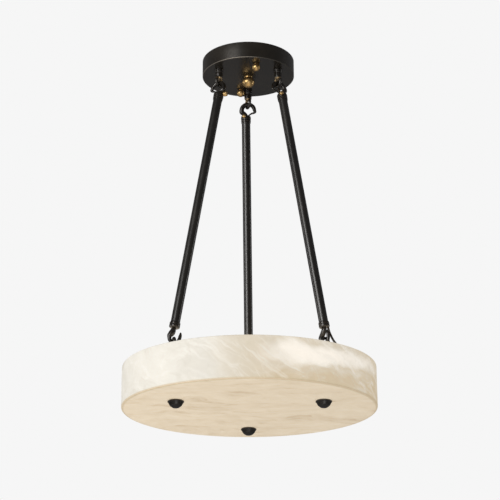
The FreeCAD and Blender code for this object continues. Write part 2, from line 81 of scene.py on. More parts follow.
SCREW_DROP = {"far": 5.2, "left": 4.4, "right": 4.4}


def pol(r, deg, z=0.0):
    a = math.radians(deg)
    return Vector((r * math.cos(a), r * math.sin(a), z))


eyes = {k: pol(EYE_R, a) for k, a in AZ.items()}
studs = {k: pol(STUD_R, a) for k, a in AZ.items()}
beyes = {k: pol(BEYE_R, a) for k, a in AZ.items()}
rods = {}
for k in AZ:
    td, bd = pol(1, TOP_DIR[k]), pol(1, BOT_DIR[k])
    tp = Vector((eyes[k].x, eyes[k].y, HOOK_ZC)) - td * TOP_U
    bp = Vector((beyes[k].x, beyes[k].y, J_ZC)) - bd * BOT_U[k]
    a = (tp - bp).normalized()
    rods[k] = (bp, a)


def on_rod(k, z):
    p, a = rods[k]
    return p + a * ((z - p.z) / a.z)


def rod_frame(k, z, direc):
    a = rods[k][1]
    u = (direc - a * direc.dot(a)).normalized()
    v = a.cross(u)
    o = on_rod(k, z)
    return Matrix(((u.x, v.x, a.x, o.x), (u.y, v.y, a.y, o.y),
                   (u.z, v.z, a.z, o.z), (0, 0, 0, 1)))


# ------------------------------------------------------------- mesh helpers
def make(name, verts, faces, smooth=True, angle=35.0):
    me = bpy.data.meshes.new(name)
    me.from_pydata([tuple(c * MM for c in v) for v in verts], [], faces)
    me.validate()
    bm = bmesh.new()
    bm.from_mesh(me)
    bmesh.ops.remove_doubles(bm, verts=bm.verts, dist=1e-7)
    bmesh.ops.recalc_face_normals(bm, faces=bm.faces)
    bm.to_mesh(me)
    bm.free()
    ob = bpy.data.objects.new(name, me)
    scene.collection.objects.link(ob)
    shade(ob, angle)
    return ob


def shade(ob, angle=35.0):
    me = ob.data
    me.polygons.foreach_set("use_smooth", [True] * len(me.polygons))
    bm = bmesh.new()
    bm.from_mesh(me)
    lim = math.radians(angle)
    for e in bm.edges:
        e.smooth = not (len(e.link_faces) != 2 or e.calc_face_angle(0.0) > lim)
    bm.to_mesh(me)
    bm.free()


def arc_prof(pts, seg=6):
    """(r, z, corner radius) polygon with its corners rounded, as (r, z)."""
    out = []
    n = len(pts)
    for i, p in enumerate(pts):
        rad = p[2] if len(p) > 2 else 0.0
        b = Vector((p[0], p[1]))
        if rad <= 0 or i in (0, n - 1):
            out.append((b.x, b.y))
            continue
        a, c = Vector(pts[i - 1][:2]), Vector(pts[i + 1][:2])
        u, w = (a - b).normalized(), (c - b).normalized()
        ang = u.angle(w)
        t = rad / math.tan(ang / 2)
        t = min(t, 0.49 * (a - b).length, 0.49 * (c - b).length)
        rr = t * math.tan(ang / 2)
        cen = b + (u + w).normalized() * (rr / math.sin(ang / 2))
        s, e = b + u * t - cen, b + w * t - cen
        tot = s.angle(e)
        ax = s.normalized()
        ay = (e - ax * e.dot(ax)).normalized()
        for j in range(seg + 1):
            q = tot * j / seg
            out.append(tuple(cen + (ax * math.cos(q) + ay * math.sin(q)) * rr))
    return out


def lathe(name, prof, n=96, mat=None, wob=None, angle=35.0, closed=False):
    """Turned piece: profile (r, z) in mm, spun about the local Z axis."""
    verts, faces, rings = [], [], []
    for r, z in prof:
        if r < 1e-6:
            rings.append([len(verts)])
            verts.append(Vector((0, 0, z)))
        else:
            rings.append(list(range(len(verts), len(verts) + n)))
            for i in range(n):
                q = 2 * math.pi * i / n
                v = Vector((r * math.cos(q), r * math.sin(q), z))
                if wob:
                    v = wob(v)
                verts.append(v)
    pairs = list(zip(rings[:-1], rings[1:]))
    if closed:
        pairs.append((rings[-1], rings[0]))
    for a, b in pairs:
        for i in range(n):
            j = (i + 1) % n
            if len(a) == 1 and len(b) == 1:
                continue
            if len(a) == 1:
                faces.append((a[0], b[i], b[j]))
            elif len(b) == 1:
                faces.append((a[i], b[0], a[j]))
            else:
                faces.append((a[i], b[i], b[j], a[j]))
    if mat is not None:
        verts = [mat @ v for v in verts]
    return make(name, verts, faces, angle=angle)


def skin(pts, rads, n=20, mat=None):
    """Round bar of changing radius through points: verts and faces."""
    P = [Vector(p) for p in pts]
    verts, faces = [], []
    t = (P[1] - P[0]).normalized()
    ref = Vector((0, 1, 0)) if abs(t.y) < 0.9 else Vector((1, 0, 0))
    nrm = (ref - t * ref.dot(t)).normalized()
    for i, p in enumerate(P):
        if i == 0:
            d = P[1] - P[0]
        elif i == len(P) - 1:
            d = P[-1] - P[-2]
        else:
            d = (P[i + 1] - P[i]).normalized() + (P[i] - P[i - 1]).normalized()
        d.normalize()
        nrm = (nrm - d * nrm.dot(d)).normalized()
        bi = d.cross(nrm)
        for j in range(n):
            q = 2 * math.pi * j / n
            verts.append(p + (nrm * math.cos(q) + bi * math.sin(q)) * rads[i])
    for i in range(len(P) - 1):
        for j in range(n):
            k = (j + 1) % n
            faces.append((i * n + j, i * n + k, (i + 1) * n + k, (i + 1) * n + j))
    faces.append(tuple(range(n))[::-1])
    faces.append(tuple(range((len(P) - 1) * n, len(P) * n)))
    if mat is not None:
        verts = [mat @ v for v in verts]
    return verts, faces


def catmull(ctrl, step=0.5):
    """Smooth line and radius through (x, y, z, r) control points."""
    C = [Vector(c) for c in ctrl]
    C = [C[0] * 2 - C[1]] + C + [C[-1] * 2 - C[-2]]
    pts, rads = [], []
    for i in range(1, len(C) - 2):
        a, b, c, d = C[i - 1:i + 3]
        m = max(2, int((c - b).length / step))
        for j in range(m):
            s = j / m
            v = 0.5 * ((2 * b) + (c - a) * s + (2 * a - 5 * b + 4 * c - d) * s * s
                       + (3 * b - a - 3 * c + d) * s ** 3)
            pts.append(v.xyz)
            rads.append(max(0.3, v.w))
    pts.append(C[-2].xyz)
    rads.append(C[-2].w)
    return pts, rads


def forged(name, lumps, voxel=0.42, passes=4, mat=None):
    """Overlapping bars and turned lumps melted into one forged piece."""
    verts, faces = [], []
    for v, f in lumps:
        o = len(verts)
        verts += [Vector(p) for p in v]
        faces += [tuple(i + o for i in g) for g in f]
    if mat is not None:
        verts = [mat @ v for v in verts]
    ob = make(name, verts, faces)
    m = ob.modifiers.new("r", "REMESH")
    m.mode, m.voxel_size, m.use_smooth_shade = "VOXEL", voxel * MM, True
    m = ob.modifiers.new("s", "SMOOTH")
    m.factor, m.iterations = 0.5, passes
    dg = bpy.context.evaluated_depsgraph_get()
    me = bpy.data.meshes.new_from_object(ob.evaluated_get(dg))
    old = ob.data
    ob.modifiers.clear()
    ob.data = me
    bpy.data.meshes.remove(old)
    me.polygons.foreach_set("use_smooth", [True] * len(me.polygons))
    return ob


def ball_lump(c, r, n=20):
    verts, faces = [], []
    m = n // 2
    for i in range(1, m):
        t = math.pi * i / m
        for j in range(n):
            q = 2 * math.pi * j / n
            verts.append(Vector(c) + Vector((math.sin(t) * math.cos(q),
                         math.sin(t) * math.sin(q), math.cos(t))) * r)
    top, bot = len(verts), len(verts) + 1
    verts += [Vector(c) + Vector((0, 0, r)), Vector(c) - Vector((0, 0, r))]
    for i in range(m - 2):
        for j in range(n):
            k = (j + 1) % n
            faces.append((i * n + j, (i + 1) * n + j, (i + 1) * n + k, i * n + k))
    for j in range(n):
        k = (j + 1) % n
        faces.append((top, j, k))
        faces.append((bot, (m - 2) * n + k, (m - 2) * n + j))
    return verts, faces


def ring_lump(c, rc, rw, axis, n=56, m=20):
    ax = Vector(axis).normalized()
    u = ax.orthogonal().normalized()
    v = ax.cross(u)
    verts, faces = [], []
    for i in range(n):
        q = 2 * math.pi * i / n
        d = u * math.cos(q) + v * math.sin(q)
        for j in range(m):
            s = 2 * math.pi * j / m
            verts.append(Vector(c) + d * (rc + rw * math.cos(s)) + ax * (rw * math.sin(s)))
    for i in range(n):
        for j in range(m):
            a, b = (i + 1) % n, (j + 1) % m
            faces.append((i * m + j, a * m + j, a * m + b, i * m + b))
    return verts, faces


def lathe_lump(prof, c, n=40):
    verts, faces, rings = [], [], []
    for r, z in prof:
        if r < 1e-6:
            rings.append([len(verts)] * n)
            verts.append(Vector((c.x, c.y, z)))
        else:
            rings.append(list(range(len(verts), len(verts) + n)))
            for i in range(n):
                q = 2 * math.pi * i / n
                verts.append(Vector((c.x + r * math.cos(q), c.y + r * math.sin(q), z)))
    for a, b in zip(rings[:-1], rings[1:]):
        for i in range(n):
            j = (i + 1) % n
            f = []
            for q in (a[i], b[i], b[j], a[j]):
                if q not in f:
                    f.append(q)
            if len(f) > 2:
                faces.append(tuple(f))
    return verts, faces


# ---------------------------------------------------------------- materials
def new_mat(name):
    m = bpy.data.materials.new(name)
    m.use_nodes = True
    nt = m.node_tree
    return m, nt, nt.nodes["Principled BSDF"]


def node(nt, kind, **kw):
    n = nt.nodes.new(kind)
    for k, v in kw.items():
        if k in n.inputs:
            n.inputs[k].default_value = v
        else:
            setattr(n, k, v)
    return n


def ramp(nt, fac, stops):
    r = nt.nodes.new("ShaderNodeValToRGB")
    e = r.color_ramp.elements
    while len(e) > len(stops):
        e.remove(e[-1])
    while len(e) < len(stops):
        e.new(0.5)
    for el, (p, c) in zip(e, stops):
        el.position = p
        el.color = (c[0], c[1], c[2], 1) if not isinstance(c, float) else (c, c, c, 1)
    nt.links.new(fac, r.inputs["Fac"])
    return r.outputs["Color"]


def maprange(nt, val, a, b, c, d, smooth=True):
    m = nt.nodes.new("ShaderNodeMapRange")
    m.interpolation_type = "SMOOTHSTEP" if smooth else "LINEAR"
    for k, v in (("From Min", a), ("From Max", b), ("To Min", c), ("To Max", d)):
        m.inputs[k].default_value = v
    nt.links.new(val, m.inputs["Value"])
    return m.outputs["Result"]


def mathn(nt, op, a, b=None):
    m = nt.nodes.new("ShaderNodeMath")
    m.operation = op
    for i, x in enumerate((a, b)):
        if x is None:
            continue
        if isinstance(x, (int, float)):
            m.inputs[i].default_value = x
        else:
            nt.links.new(x, m.inputs[i])
    return m.outputs[0]


def mixc(nt, fac, a, b, blend="MIX"):
    m = nt.nodes.new("ShaderNodeMix")
    m.data_type, m.blend_type = "RGBA", blend
    for i, x in ((0, fac), (6, a), (7, b)):
        if isinstance(x, (int, float)):
            m.inputs[i].default_value = x
        elif isinstance(x, tuple):
            m.inputs[i].default_value = (x[0], x[1], x[2], 1)
        else:
            nt.links.new(x, m.inputs[i])
    return m.outputs[2]


def noise_tex(nt, vec, scale, detail=4.0, rough=0.5, dist=0.0):
    n = nt.nodes.new("ShaderNodeTexNoise")
    n.inputs["Scale"].default_value = scale
    n.inputs["Detail"].default_value = detail
    n.inputs["Roughness"].default_value = rough
    n.inputs["Distortion"].default_value = dist
    nt.links.new(vec, n.inputs["Vector"])
    return n


def bump(nt, bs, height, strength, dist):
    b = nt.nodes.new("ShaderNodeBump")
    b.inputs["Strength"].default_value = strength
    b.inputs["Distance"].default_value = dist
    nt.links.new(height, b.inputs["Height"])
    nt.links.new(b.outputs["Normal"], bs.inputs["Normal"])


def coords(nt):
    return nt.nodes.new("ShaderNodeTexCoord").outputs["Object"]


def mapped(nt, vec, scale=(1, 1, 1), rot=(0, 0, 0), loc=(0, 0, 0)):
    m = nt.nodes.new("ShaderNodeMapping")
    m.inputs["Scale"].default_value = scale
    m.inputs["Rotation"].default_value = rot
    m.inputs["Location"].default_value = loc
    nt.links.new(vec, m.inputs["Vector"])
    return m.outputs["Vector"]


def metal(name, dark, light, metallic, r0, r1, scale=60.0, bmp=0.04, wear_and_glint=None,
          stretch=(1, 1, 1), spec=0.5, coat=0.0, coat_rough=0.25):
    m, nt, bs = new_mat(name)
    co = mapped(nt, coords(nt), stretch)
    n1 = noise_tex(nt, co, scale, 5.0, 0.6)
    n2 = noise_tex(nt, co, scale * 9, 3.0, 0.6)
    col = ramp(nt, n1.outputs["Fac"], [(0.32, dark), (0.68, light)])
    if wear_and_glint:
        # lighter colour on sharp edges: partly worn-edge colour, partly a painted highlight standing
        # in for glints along the edges
        g = nt.nodes.new("ShaderNodeNewGeometry").outputs["Pointiness"]
        w = maprange(nt, g, 0.53, 0.62, 0.0, 1.0)
        w = mathn(nt, "MULTIPLY", w, n2.outputs["Fac"])
        col = mixc(nt, w, col, wear_and_glint)
    nt.links.new(col, bs.inputs["Base Color"])
    bs.inputs["Metallic"].default_value = metallic
    bs.inputs["Specular IOR Level"].default_value = spec
    bs.inputs["Coat Weight"].default_value = coat
    bs.inputs["Coat Roughness"].default_value = coat_rough
    rg = maprange(nt, n1.outputs["Fac"], 0.3, 0.7, r0, r1)
    nt.links.new(rg, bs.inputs["Roughness"])
    bump(nt, bs, n2.outputs["Fac"], bmp, 0.0003)
    return m


# the last colour lightens sharp edges: partly edge wear, partly painted highlight
bronze = metal("dark_bronze", (0.017, 0.0138, 0.0105), (0.034, 0.027, 0.020), 0.45,
               0.24, 0.38, 90.0, 0.16, wear_and_glint=(0.17, 0.118, 0.070), coat=0.65, coat_rough=0.16)
rod_mat = metal("dark_bronze_rod", (0.016, 0.0140, 0.0115), (0.030, 0.0255, 0.0205), 0.40,
                0.30, 0.40, 60.0, 0.08, stretch=(1, 1, 0.25), coat=1.0, coat_rough=0.26)
brass = metal("polished_brass", (0.68, 0.43, 0.165), (0.82, 0.57, 0.265), 1.0,
              0.34, 0.43, 120.0, 0.05)
zinc = metal("zinc_steel", (0.45, 0.45, 0.43), (0.66, 0.66, 0.63), 1.0,
             0.32, 0.5, 90.0, 0.06)
green = metal("earth_green", (0.03, 0.22, 0.07), (0.05, 0.32, 0.11), 0.6,
              0.3, 0.45, 120.0, 0.05)
white_al = metal("white_aluminium", (0.78, 0.78, 0.76), (0.86, 0.86, 0.84), 0.1,
                 0.4, 0.55, 50.0, 0.04)


def plastic(name, dark, light, r0, r1, scale, bmp=0.05, metallic=0.0):
    return metal(name, dark, light, metallic, r0, r1, scale, bmp)


board_mat = plastic("led_board", (0.74, 0.76, 0.72), (0.86, 0.87, 0.84), 0.25, 0.4, 150.0)
white_pl = plastic("white_plastic", (0.72, 0.72, 0.69), (0.84, 0.84, 0.81), 0.4, 0.6, 200.0)
felt_mat = plastic("felt", (0.03, 0.026, 0.022), (0.10, 0.09, 0.075), 0.9, 1.0, 900.0, 0.6)
rubber_mat = plastic("rubber", (0.015, 0.015, 0.015), (0.035, 0.034, 0.033), 0.6, 0.8, 300.0, 0.2)
lead_mat = plastic("lead_jacket", (0.030, 0.022, 0.014), (0.060, 0.042, 0.026), 0.3, 0.45, 160.0, 0.08)


def canopy_material():
    m, nt, bs = new_mat("dark_bronze_canopy")
    co = coords(nt)
    n1 = noise_tex(nt, co, 26.0, 6.0, 0.6)
    n2 = noise_tex(nt, co, 700.0, 3.0, 0.6)
    col = ramp(nt, n1.outputs["Fac"], [(0.3, (0.0215, 0.0165, 0.0105)),
                                       (0.7, (0.0370, 0.0290, 0.0190))])
    z = nt.nodes.new("ShaderNodeSeparateXYZ")
    nt.links.new(co, z.inputs[0])
    under = maprange(nt, z.outputs["Z"], -0.0279, -0.0272, 1.0, 0.0)
    # painted highlight: a pale metallic line along the lower lip, strong on the left and fading to the
    # right where the key light glints
    edge_highlight = mathn(nt, "MULTIPLY",
                 maprange(nt, z.outputs["Z"], -0.02802, -0.0278, 0.0, 1.0),
                 maprange(nt, z.outputs["Z"], -0.0274, -0.0268, 1.0, 0.0))
    edge_highlight = mathn(nt, "MULTIPLY", edge_highlight, maprange(nt, z.outputs["X"], -0.035, 0.030, 1.0, 0.12))
    col = mixc(nt, edge_highlight, col, (0.66, 0.58, 0.48))
    nt.links.new(maprange(nt, edge_highlight, 0.0, 1.0, 0.4, 1.0, False), bs.inputs["Metallic"])
    nt.links.new(col, bs.inputs["Base Color"])
    bs.inputs["Coat Weight"].default_value = 0.80
    bs.inputs["Coat Roughness"].default_value = 0.27
    side = maprange(nt, n1.outputs["Fac"], 0.3, 0.7, 0.30, 0.42)
    low = maprange(nt, n1.outputs["Fac"], 0.3, 0.7, 0.15, 0.24)
    mx = nt.nodes.new("ShaderNodeMix")
    mx.data_type = "FLOAT"
    nt.links.new(under, mx.inputs[0])
    nt.links.new(side, mx.inputs[2])
    nt.links.new(low, mx.inputs[3])
    nt.links.new(mx.outputs[0], bs.inputs["Roughness"])
    bump(nt, bs, n2.outputs["Fac"], 0.05, 0.0002)
    return m


def alabaster():
    m, nt, bs = new_mat("alabaster")
    co = coords(nt)
    s = nt.nodes.new("ShaderNodeSeparateXYZ")
    nt.links.new(co, s.inputs[0])
    # slow warp, so that the clouds run and fold
    wn = noise_tex(nt, co, 9.0, 3.0, 0.55)
    warp = nt.nodes.new("ShaderNodeVectorMath")
    warp.operation = "MULTIPLY_ADD"
    nt.links.new(wn.outputs["Color"], warp.inputs[0])
    warp.inputs[1].default_value = (0.085, 0.085, 0.060)
    nt.links.new(co, warp.inputs[2])
    wv = warp.outputs[0]
    w = nt.nodes.new("ShaderNodeSeparateXYZ")
    nt.links.new(wv, w.inputs[0])
    # warped place on the side wall: X across in metres, Z from -1 (foot) to 1 (rim)
    X = mathn(nt, "SUBTRACT", w.outputs["X"], 0.0425)
    Z = mathn(nt, "DIVIDE", mathn(nt, "ADD", w.outputs["Z"], 0.538), 0.033)
    c1 = noise_tex(nt, mapped(nt, wv, (1.0, 1.0, 2.0), (0.2, 0.6, 0.1), (0.31, 0.12, 0.05)),
                   9.0, 6.0, 0.56, 0.5)
    c2 = noise_tex(nt, mapped(nt, wv, (1.2, 1.2, 2.6), (0.1, 0.75, 0.2)), 26.0, 6.0, 0.62, 0.7)
    fine = noise_tex(nt, wv, 90.0, 5.0, 0.62, 0.3)
    n1 = mathn(nt, "SUBTRACT", c1.outputs["Fac"], 0.5)
    n2 = mathn(nt, "SUBTRACT", c2.outputs["Fac"], 0.5)
    # the stone turns tan to the right, round one big pale cloud under the rim
    right = maprange(nt, X, -0.035, 0.045, 0.0, 1.0)
    ex = mathn(nt, "DIVIDE", mathn(nt, "SUBTRACT", X, 0.102), 0.084)
    ez = mathn(nt, "DIVIDE", mathn(nt, "SUBTRACT", Z, 0.40), 0.50)
    e = mathn(nt, "ADD", mathn(nt, "MULTIPLY", ex, ex), mathn(nt, "MULTIPLY", ez, ez))
    e = mathn(nt, "SUBTRACT", e, mathn(nt, "MULTIPLY", n1, 1.3))
    e = mathn(nt, "SUBTRACT", e, mathn(nt, "MULTIPLY", n2, 1.1))
    cloud = maprange(nt, e, 0.0, 1.5, 0.95, 0.0)
    tan = mathn(nt, "ADD", mathn(nt, "MULTIPLY", n1, 1.5), mathn(nt, "MULTIPLY", n2, 0.9))
    foot = maprange(nt, Z, -0.95, -0.25, 0.34, 0.0)
    tan = mathn(nt, "ADD", mathn(nt, "ADD", tan, 0.60), foot)
    tan = mathn(nt, "MULTIPLY", tan, right)
    tan = mathn(nt, "MULTIPLY", tan, mathn(nt, "SUBTRACT", 1.0, mathn(nt, "MULTIPLY", cloud, 0.92)))
    tan = maprange(nt, tan, 0.05, 0.95, 0.0, 1.0, False)
    # a greyer belt near the middle
    gx = mathn(nt, "DIVIDE", mathn(nt, "ADD", X, 0.012), 0.042)
    belt = mathn(nt, "SUBTRACT", mathn(nt, "ABSOLUTE", gx), mathn(nt, "MULTIPLY", n1, 0.9))
    belt = maprange(nt, belt, 0.15, 1.45, 0.85, 0.0)
    # drawn-out grey veils on the white left part
    slant = mapped(nt, wv, (1, 1, 1), (0.0, -0.65, 0.0))
    v0 = noise_tex(nt, mapped(nt, slant, (0.8, 0.9, 2.6)), 15.0, 5.0, 0.55, 0.6)
    veil = maprange(nt, v0.outputs["Fac"], 0.46, 0.64, 0.0, 0.55)
    side = mixc(nt, veil, (0.760, 0.724, 0.648), (0.648, 0.606, 0.525))
    side = mixc(nt, belt, side, (0.690, 0.612, 0.485))
    side = mixc(nt, tan, side, (0.610, 0.503, 0.350))
    thin = noise_tex(nt, mapped(nt, slant, (0.9, 1.0, 2.2), (0, 0, 0), (0.3, 0.3, 0.7)),
                     22.0, 6.0, 0.62, 0.5)
    body = mathn(nt, "MULTIPLY", mathn(nt, "MULTIPLY", cloud, right),
                 maprange(nt, thin.outputs["Fac"], 0.36, 0.56, 0.62, 1.0))
    side = mixc(nt, body, side, (0.925, 0.856, 0.756))
    # thin pale veins
    v1 = noise_tex(nt, mapped(nt, slant, (1.0, 1.0, 2.0)), 13.0, 3.0, 0.5, 0.7)
    vein = mathn(nt, "ABSOLUTE", mathn(nt, "SUBTRACT", v1.outputs["Fac"], 0.5))
    vein = maprange(nt, vein, 0.0, 0.040, 1.0, 0.0)
    vein = mathn(nt, "MULTIPLY", vein, maprange(nt, c1.outputs["Fac"], 0.42, 0.6, 0.0, 0.10))
    side = mixc(nt, vein, side, (0.960, 0.930, 0.860))
    streak = noise_tex(nt, mapped(nt, slant, (0.6, 0.8, 3.4), (0, 0, 0), (0.4, 0.1, 0.2)),
                       30.0, 5.0, 0.60, 0.4)
    side = mixc(nt, maprange(nt, streak.outputs["Fac"], 0.50, 0.68, 0.0, 0.36), side,
                (0.900, 0.865, 0.790))
    fm = maprange(nt, fine.outputs["Fac"], 0.3, 0.7, 0.960, 1.026, False)
    # the stone colour, and with it the painted glow, is a little darker over the left and middle and
    # lighter to the right
    drift = ramp(nt, maprange(nt, s.outputs["X"], -0.2, 0.2, 0.0, 1.0, False),
                 [(0.0, (0.82, 0.82, 0.82)), (0.45, (0.76, 0.76, 0.76)),
                  (0.9, (1.06, 1.06, 1.06))])
    dv = nt.nodes.new("ShaderNodeVectorMath")
    dv.operation = "MULTIPLY"
    nt.links.new(side, dv.inputs[0])
    nt.links.new(drift, dv.inputs[1])
    side = dv.outputs[0]
    # underside: even warm beige with faint drawn-out streaks
    u1 = noise_tex(nt, mapped(nt, wv, (0.8, 2.2, 1.0), (0, 0, 0.25)), 16.0, 6.0, 0.62, 0.9)
    u2 = noise_tex(nt, mapped(nt, wv, (1.0, 2.6, 1.0), (0, 0, -0.35)), 42.0, 5.0, 0.6, 0.6)
    ut = mathn(nt, "ADD", mathn(nt, "MULTIPLY", u1.outputs["Fac"], 0.6),
               mathn(nt, "MULTIPLY", u2.outputs["Fac"], 0.4))
    under = ramp(nt, ut, [(0.33, (0.620, 0.492, 0.338)), (0.46, (0.764, 0.638, 0.470)),
                          (0.66, (0.840, 0.722, 0.552))])
    fall = maprange(nt, s.outputs["X"], -0.2, 0.2, 1.04, 0.925, False)
    uv = nt.nodes.new("ShaderNodeVectorMath")
    uv.operation = "SCALE"
    nt.links.new(under, uv.inputs[0])
    nt.links.new(fall, uv.inputs["Scale"])
    under = uv.outputs[0]
    low = maprange(nt, s.outputs["Z"], -0.6006, -0.5990, 1.0, 0.0)
    col = mixc(nt, low, side, under)
    mult = nt.nodes.new("ShaderNodeVectorMath")
    mult.operation = "SCALE"
    nt.links.new(col, mult.inputs[0])
    nt.links.new(fm, mult.inputs["Scale"])
    col = mult.outputs[0]
    # the lower arris is a little browner
    r2 = nt.nodes.new("ShaderNodeVectorMath")
    r2.operation = "LENGTH"
    cx = nt.nodes.new("ShaderNodeCombineXYZ")
    nt.links.new(s.outputs["X"], cx.inputs[0])
    nt.links.new(s.outputs["Y"], cx.inputs[1])
    nt.links.new(cx.outputs[0], r2.inputs[0])
    arris = mathn(nt, "MULTIPLY", maprange(nt, r2.outputs["Value"], 0.1950, 0.1985, 0.0, 1.0),
                  maprange(nt, s.outputs["Z"], -0.5996, -0.5972, 1.0, 0.0))
    col = mixc(nt, mathn(nt, "MULTIPLY", arris, 0.60), col, (0.470, 0.370, 0.230))
    nt.links.new(col, bs.inputs["Base Color"])
    # painted glow: the stone's colour is also given as emission, standing in for the lamp light
    # shining through the stone
    nt.links.new(col, bs.inputs["Emission Color"])
    bs.inputs["Emission Strength"].default_value = 0.70
    bs.inputs["Specular IOR Level"].default_value = 0.30
    rg = maprange(nt, c2.outputs["Fac"], 0.3, 0.7, 0.42, 0.58)
    nt.links.new(rg, bs.inputs["Roughness"])
    bump(nt, bs, fine.outputs["Fac"], 0.05, 0.0004)
    return m


def acrylic():
    m, nt, bs = new_mat("frosted_acrylic")
    n = noise_tex(nt, coords(nt), 14.0, 4.0, 0.5)
    f = noise_tex(nt, coords(nt), 900.0, 2.0, 0.5)
    col = ramp(nt, n.outputs["Fac"], [(0.3, (0.86, 0.80, 0.69)), (0.7, (0.93, 0.88, 0.78))])
    nt.links.new(col, bs.inputs["Base Color"])
    # painted glow: the cover's colour is also given as emission, standing in for the LED light shining
    # through it
    nt.links.new(col, bs.inputs["Emission Color"])
    bs.inputs["Emission Strength"].default_value = 0.40
    nt.links.new(maprange(nt, f.outputs["Fac"], 0.3, 0.7, 0.45, 0.6), bs.inputs["Roughness"])
    bump(nt, bs, f.outputs["Fac"], 0.1, 0.0002)
    return m


def led():
    m, nt, bs = new_mat("led_chip")
    n = noise_tex(nt, coords(nt), 400.0, 2.0, 0.5)
    col = ramp(nt, n.outputs["Fac"], [(0.3, (0.95, 0.78, 0.42)), (0.7, (1.0, 0.88, 0.60))])
    nt.links.new(col, bs.inputs["Base Color"])
    nt.links.new(col, bs.inputs["Emission Color"])
    bs.inputs["Emission Strength"].default_value = 3.0
    bs.inputs["Roughness"].default_value = 0.3
    return m


def eye_material():
    m = bronze.copy()
    m.name = "dark_bronze_eye"
    nt = m.node_tree
    bs = nt.nodes["Principled BSDF"]
    col = bs.inputs["Base Color"].links[0].from_socket
    z = nt.nodes.new("ShaderNodeSeparateXYZ")
    nt.links.new(coords(nt), z.inputs[0])
    n = noise_tex(nt, coords(nt), 160.0, 3.0, 0.5)
    band = mathn(nt, "MULTIPLY", maprange(nt, z.outputs["Z"], -0.0462, -0.0457, 0.0, 1.0),
                 maprange(nt, z.outputs["Z"], -0.0432, -0.0427, 1.0, 0.0))
    gold = ramp(nt, n.outputs["Fac"], [(0.35, (0.56, 0.37, 0.17)), (0.65, (0.80, 0.60, 0.34))])
    nt.links.new(mixc(nt, band, col, gold), bs.inputs["Base Color"])
    nt.links.new(maprange(nt, band, 0.0, 1.0, 0.45, 1.0, False), bs.inputs["Metallic"])
    return m


eye_mat = eye_material()
canopy_mat, stone, cover_mat, led_mat = canopy_material(), alabaster(), acrylic(), led()


def dress(ob, mat, body, slot, *replaced):
    ob.data.materials.clear()
    ob.data.materials.append(mat)
    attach(ob, body)
    if replaced:
        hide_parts(*replaced)
    return ob


# ------------------------------------------------------- carried-over nodes
finish = {}
for n in ("ceiling_strap", "canopy_bar", "canopy_backing_plate", "nipple_nuts",
          "canopy_studs", "canopy_stud_nuts", "canopy_eye_nuts", "stud_nuts",
          "driver_screws", "tray_spacers", "cover_sleeves"):
    finish[n] = zinc
finish.update({"centre_nipple": brass, "earth_screw": green, "light_tray": white_al,
               "led_board": board_mat, "led_chips": led_mat, "terminal_block": white_pl,
               "led_driver": white_pl, "top_cover": cover_mat, "felt_washers": felt_mat,
               "rubber_pads": rubber_mat, "cover_grommet": rubber_mat,
               "lead_bushing": bronze, "lead_in_rod": lead_mat})
for n, ob in nodes.items():
    ob.data.materials.clear()
    ob.data.materials.append(finish.get(n, bronze))
    shade(ob, 32.0)

# ------------------------------------------------------------------- canopy
shell = lathe("canopy_drum", arc_prof([
    (0, -28.0), (40, -28.0), (76.2, -28.0), (77.0, -27.2, 0.0), (77.0, -14.0),
    (77.0, 0.0, 0.35), (75.8, 0.0, 0.35), (75.8, -26.5, 0.5), (40, -26.5),
    (0, -26.5)]), 160, angle=28.0)
dress(shell, canopy_mat, "canopy", "black_metal", "canopy_shell")

ballp = arc_prof([(0, -46.0), (6.45, -46.0, 3.0), (10.4, -39.2, 6.4),
                  (10.4, -34.1, 5.0), (6.3, -28.02, 0.6), (0, -28.02)], 10)
# rounder than the turned blank: a squashed sphere with a small foot
ballp = [(0, -46.0)]
for i in range(1, 33):
    t = math.pi * i / 40
    ballp.append((10.4 * math.sin(t), -37.2 - 8.8 * math.cos(t)))
ballp += [(7.4, -30.6), (6.9, -29.6), (7.1, -29.2), (7.1, -28.02), (0, -28.02)]
dress(lathe("centre_ball_turned", ballp, 72), brass, "canopy", "brass", "centre_ball")

small = [[], []]
for k in (0, 1):
    c = pol(52.0, 104.0 + 180 * k)
    pr = [(0, -40.2)]
    for i in range(1, 31):
        t = math.pi * i / 38
        pr.append((6.8 * math.sin(t), -33.7 - 6.5 * math.cos(t)))
    pr += [(4.5, -28.6), (4.5, -28.02), (0, -28.02)]
    v, f = lathe_lump(pr, c, 56)
    o = len(small[0])
    small[0] += v
    small[1] += [tuple(i + o for i in g) for g in f]
dress(make("ball_nuts_turned", small[0], small[1]), brass, "canopy", "brass",
      "canopy_ball_nuts")

for k in AZ:
    e = eyes[k]
    ax = pol(1, TOP_DIR[k] + EYE_TURN[k])
    neck = lathe_lump(arc_prof([(0, -45.6), (3.4, -45.4, 0.8), (6.0, -42.4, 1.8),
                                (6.35, -36.5, 0.6), (6.2, -33.6, 0.4), (7.25, -32.9, 0.5),
                                (7.25, -31.0, 0.4), (6.5, -30.4, 0.3), (7.25, -29.8, 0.4),
                                (7.25, -28.02), (3.9, -28.02), (3.9, -14.6), (3.4, -14.0),
                                (0, -14.0)]), e, 48)
    ring = ring_lump((e.x, e.y, EYE_ZC), EYE_RC, EYE_WIRE + 0.05, ax)
    dress(forged("eye_forged_" + k, [neck, ring], 0.34, 2), eye_mat, "canopy",
          "black_metal", "canopy_eye_" + k)

